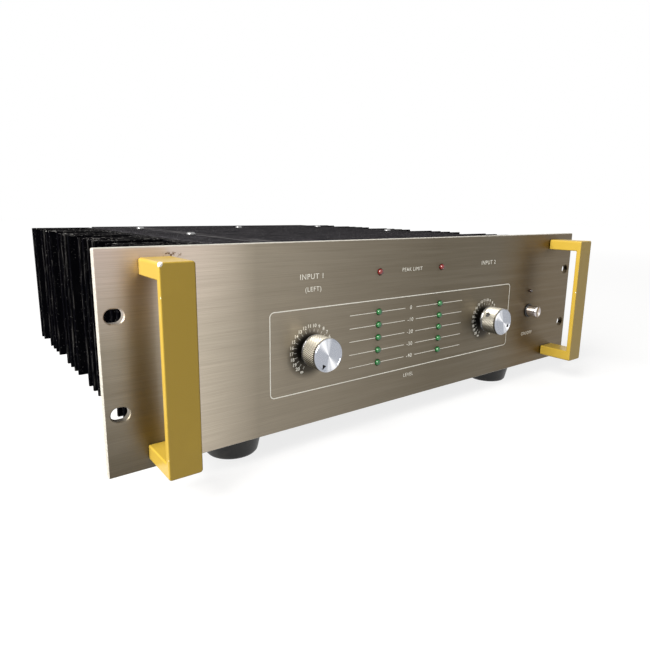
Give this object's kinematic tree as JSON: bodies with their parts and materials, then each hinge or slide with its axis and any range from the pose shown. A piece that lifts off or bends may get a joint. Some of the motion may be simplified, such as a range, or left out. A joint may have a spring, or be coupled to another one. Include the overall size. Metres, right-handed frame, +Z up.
{
  "type": "power amplifier",
  "caption": "Rack-mounting stereo power amplifier with stepped level dials, level lamps, grab handles and finned heat sinks down both sides.",
  "frame": {"origin": "on the ground under the middle of the whole part's box, at the level of the undersides of the feet", "axes": "+X to the right along the front panel, +Y from the front panel to the rear, +Z up"},
  "size_m": [0.4826, 0.428, 0.1503],
  "materials": {
    "panel": "brushed along its length, light champagne anodised",
    "handle": "satin yellow-gold, worn at the corners",
    "screw": "zinc plated",
    "heat_sink": "matte black anodised, worn along the fin tips",
    "circuit_board": "green solder mask",
    "transistor": "plated can",
    "knob": "turned face, knurled side",
    "set_screw": "blackened",
    "shaft": "turned",
    "level_control": "moulded case with a plated nut",
    "level_lamp": "green tinted dome, unlit",
    "overload_lamp": "dark red tinted dome, unlit",
    "power_lamp": "red tinted dome, unlit",
    "capacitor": "shrink sleeve",
    "button": "turned",
    "switch": "moulded",
    "chassis": "matte black paint",
    "rear_panel": "matte black paint",
    "cover": "matte black paint, dusty and worn",
    "cover_screw": "zinc plated",
    "foot": "moulded",
    "transformer": "wound with polyester tape",
    "clamp": "zinc plated",
    "rectifier": "moulded",
    "input_socket": "moulded",
    "speaker_terminals": "moulded",
    "inlet": "moulded"
  },
  "bodies": {
    "amplifier": {"front_panel": "panel", "handle_left": "handle", "handle_screw_left_upper": "screw", "handle_screw_left_lower": "screw", "heat_sink_left": "heat_sink", "amplifier_board_left": "circuit_board", "output_transistor_left_front": "transistor", "output_transistor_left_rear": "transistor", "handle_right": "handle", "handle_screw_right_upper": "screw", "handle_screw_right_lower": "screw", "heat_sink_right": "heat_sink", "amplifier_board_right": "circuit_board", "output_transistor_right_front": "transistor", "output_transistor_right_rear": "transistor", "level_control_channel_1": "level_control", "level_led_channel_1_row_1": "level_lamp", "level_led_channel_1_row_2": "level_lamp", "level_led_channel_1_row_3": "level_lamp", "level_led_channel_1_row_4": "level_lamp", "level_led_channel_1_row_5": "level_lamp", "overload_led_channel_1": "overload_lamp", "smoothing_capacitor_1": "capacitor", "input_socket_channel_1": "input_socket", "level_control_channel_2": "level_control", "level_led_channel_2_row_1": "level_lamp", "level_led_channel_2_row_2": "level_lamp", "level_led_channel_2_row_3": "level_lamp", "level_led_channel_2_row_4": "level_lamp", "level_led_channel_2_row_5": "level_lamp", "overload_led_channel_2": "overload_lamp", "smoothing_capacitor_2": "capacitor", "input_socket_channel_2": "input_socket", "power_switch": "switch", "power_led": "power_lamp", "display_board": "circuit_board", "chassis_base": "chassis", "rear_panel": "rear_panel", "top_cover": "cover", "cover_screw_1": "cover_screw", "cover_screw_2": "cover_screw", "cover_screw_3": "cover_screw", "cover_screw_4": "cover_screw", "cover_screw_5": "cover_screw", "foot_front_left": "foot", "foot_front_right": "foot", "foot_rear_left": "foot", "foot_rear_right": "foot", "mains_transformer": "transformer", "transformer_clamp": "clamp", "bridge_rectifier": "rectifier", "speaker_terminal_block": "speaker_terminals", "mains_inlet": "inlet"},
    "level_knob_1": {"level_knob_channel_1": "knob", "knob_set_screw_channel_1": "set_screw", "level_shaft_channel_1": "shaft"},
    "level_knob_2": {"level_knob_channel_2": "knob", "knob_set_screw_channel_2": "set_screw", "level_shaft_channel_2": "shaft"},
    "power_button": {"power_button": "button"}
  },
  "joints": [
    {"name": "level_knob_1_turn", "type": "hinge", "parent": "amplifier", "child": "level_knob_1", "pos_m": [-0.099, -0.181, 0.0738], "axis": [0, 1, 0], "range_deg": [0, 300]},
    {"name": "level_knob_2_turn", "type": "hinge", "parent": "amplifier", "child": "level_knob_2", "pos_m": [0.099, -0.181, 0.0738], "axis": [0, 1, 0], "range_deg": [-271.43, 28.57]},
    {"name": "power_button_press", "type": "slide", "parent": "amplifier", "child": "power_button", "axis": [0, 1, 0], "range_m": [0, 0.0035], "stiffness_N_per_m": 400, "springref_m": -0.001}
  ]
}
